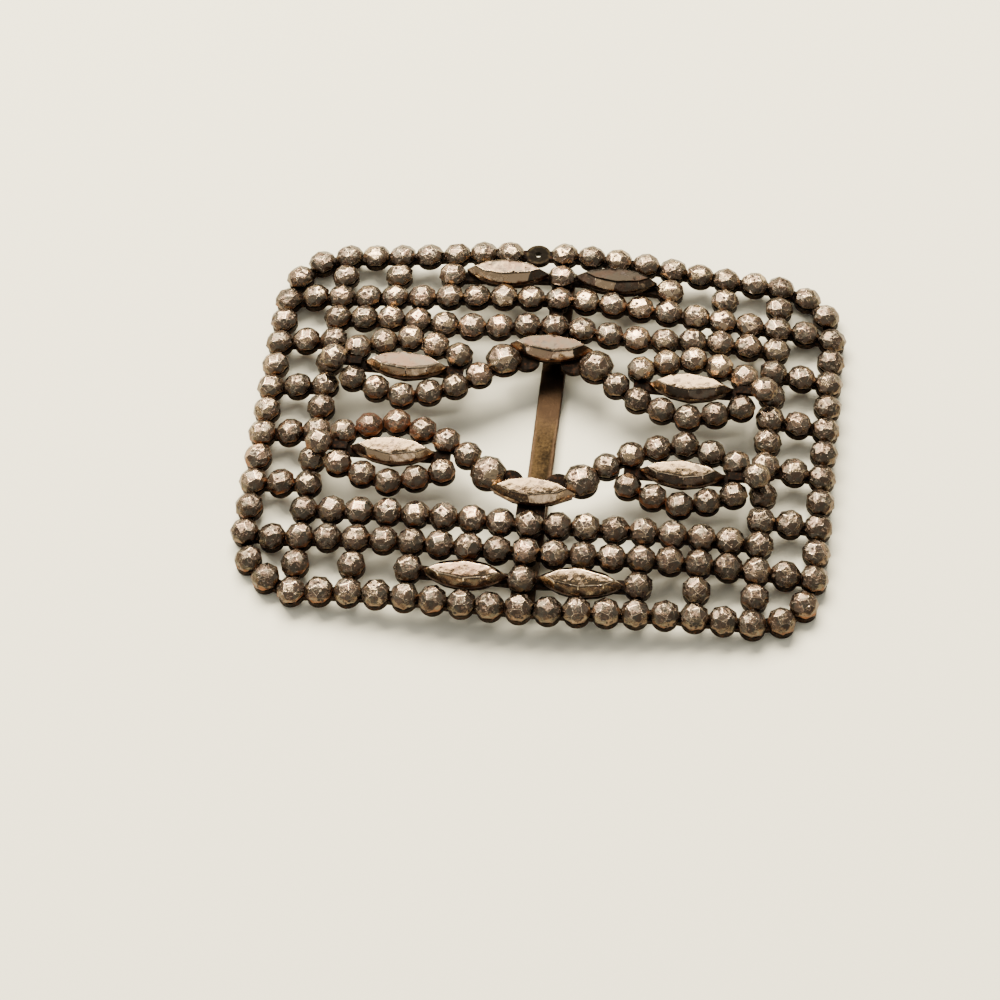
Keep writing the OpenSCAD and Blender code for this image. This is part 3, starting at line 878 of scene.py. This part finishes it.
def aged_brass():
    """Golden brown in the middle, mottled, with painted shade, partly patina as well, along both edges and
    towards the ends; at the top it stands for the shadow under the upper marquise.
    """
    n = Nodes(bpy.data.materials.new("aged_brass"))
    where = n.place()
    long_way = n.add("ShaderNodeMapping", {"Vector": where, "Scale": BAR_STRETCH}).outputs[0]
    clouds, specks = n.noise(long_way, *BAR_CLOUDS), n.noise(where, *BAR_SPECKS)
    stained = n.ramp(n.weighted(*zip((clouds, specks), BAR_SHARES)), *BAR_STAIN_MARK)
    colour = n.mix(stained, rgba(BAR_GOLDEN), rgba(BAR_STAINED))
    x, y, _ = n.split(where)
    wander = n.math("SUBTRACT", clouds, NOISE_MIDDLE)
    along = n.math("ADD", y, n.math("MULTIPLY", wander, BAR_END_WANDER))
    across = n.math("ABSOLUTE", n.math("SUBTRACT", x, BAR_X))
    across = n.math("ADD", across, n.math("MULTIPLY", wander, BAR_EDGE_WANDER))
    # Painted shade, partly patina: darker towards both ends and along both edges, the top end standing for
    # the shadow under the upper marquise.
    shade = n.math("MAXIMUM", n.ramp(along, *BAR_TOP_SHADE), n.ramp(along, *BAR_BOTTOM_SHADE))
    shade = n.math("MAXIMUM", shade, n.ramp(across, *BAR_EDGE_SHADE, 0, BAR_EDGE_MOST))
    colour = n.mix(shade, colour, n.mix(specks, rgba(BAR_SHADE_DARK), rgba(BAR_SHADE_LIGHT)))
    return n.surface({"Base Color": colour, "Metallic": 1.0, "Roughness": n.mix_value(stained, *BAR_ROUGH),
                      "Normal": n.bump(SPECK_BUMP, BAR_BUMP_M, specks)})


# Studio. Places and sizes in metres.
FLOOR_SIZE = 6
FLOOR_COLOUR = (0.88, 0.825, 0.63)
FLOOR_ROUGH = 0.9
FLOOR_SHINE = 0.1
LAMPS = [
    # name, place, width and depth, watts, colour
    ("softbox", (-0.20, 0.555, 0.70), (0.84, 0.50), 45.0, (1.0, 0.93, 0.81)),
    ("spark", (-0.42, 0.05, 0.62), (0.10, 0.10), 0.4, (1.0, 0.97, 0.93)),
]
ROOM = 1.5
ROOM_COLOUR = (0.98, 0.985, 0.985)
# The room's own strength, low and overhead, and where between the two it grows.
ROOM_LEVELS = (0.25, 0.36)
ROOM_HEIGHTS = (0.30, 0.95)
# Bright places of the room: the way to each, its reach in degrees and its strength.
ROOM_PANELS = [((-0.74, 0.52, 0.43), 25, 1.0), ((0.83, 0.35, 0.43), 18, 0.6), ((0.10, -0.10, 0.99), 14, 0.5),
               ((-0.62, -0.62, 0.47), 20, 0.9), ((0.27, -0.93, 0.24), 11, 0.7)]
PANEL_CORE = 0.6


def make_floor():
    bpy.ops.mesh.primitive_plane_add(size=FLOOR_SIZE, location=(0, 0, 0))
    floor = bpy.context.object
    floor.name = "floor"
    n = Nodes(bpy.data.materials.new("floor_paper"))
    floor.data.materials.append(n.surface({"Base Color": rgba(FLOOR_COLOUR), "Roughness": FLOOR_ROUGH,
                                           "Specular IOR Level": FLOOR_SHINE}))


def make_lamps():
    """Area lamps that face the middle of the floor."""
    for name, place, size, watts, colour in LAMPS:
        data = bpy.data.lights.new(name, "AREA")
        data.shape = "RECTANGLE"
        data.size, data.size_y = size
        data.energy = watts
        data.color = colour
        lamp = add_object(name, data)
        lamp.location = place
        lamp.rotation_euler = (-Vector(place)).to_track_quat("-Z", "Y").to_euler()


def make_room():
    """A room that is brighter overhead and to the left, with a few bright places."""
    world = bpy.data.worlds.new("room")
    bpy.context.scene.world = world
    n = Nodes(world)
    way = n.split(n.add("ShaderNodeTexCoord").outputs["Generated"])
    level = n.ramp(way[2], *ROOM_HEIGHTS, *ROOM_LEVELS)
    for middle, reach, strength in ROOM_PANELS:
        rim, core = math.cos(math.radians(reach)), math.cos(math.radians(reach * PANEL_CORE))
        level = n.math("ADD", level, n.ramp(n.weighted(*zip(way, middle)), rim, core, 0, strength))
    strength = n.math("MULTIPLY", level, ROOM)
    lamp = n.add("ShaderNodeBackground", {"Color": rgba(ROOM_COLOUR), "Strength": strength})
    n.add("ShaderNodeOutputWorld", {"Surface": lamp.outputs[0]})


def give(node, material):
    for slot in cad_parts[node].material_slots:
        slot.link = "OBJECT"
        slot.material = material


make_camera()
make_floor()
make_lamps()
make_room()
stud_steel = worn_steel("stud_steel", STUD_LOOK)
marquise_steel = worn_steel("marquise_steel", MARQUISE_LOOK)
# Each group: its nodes, whether they stand on the dome, the height of their heads and the first seed.
for group, on_dome, height, first_seed in ((DOME_STUDS, True, STUD_H, 101), (ARM_STUDS, False, STUD_H, 201),
                                           (BIG_STUDS, False, BIG_H, 301)):
    for k, node in enumerate(group):
        dress_studs(node, on_dome, height, stud_steel, first_seed + k)
for group, on_dome, first_seed in ((ARM_MARQUISES, False, 401), (DOME_MARQUISES, True, 501)):
    for k, node in enumerate(group):
        dress_marquise(node, on_dome, marquise_steel, first_seed + k)
give("openwork_plate", plate_metal())
dress_bar("strap_bar", aged_brass())
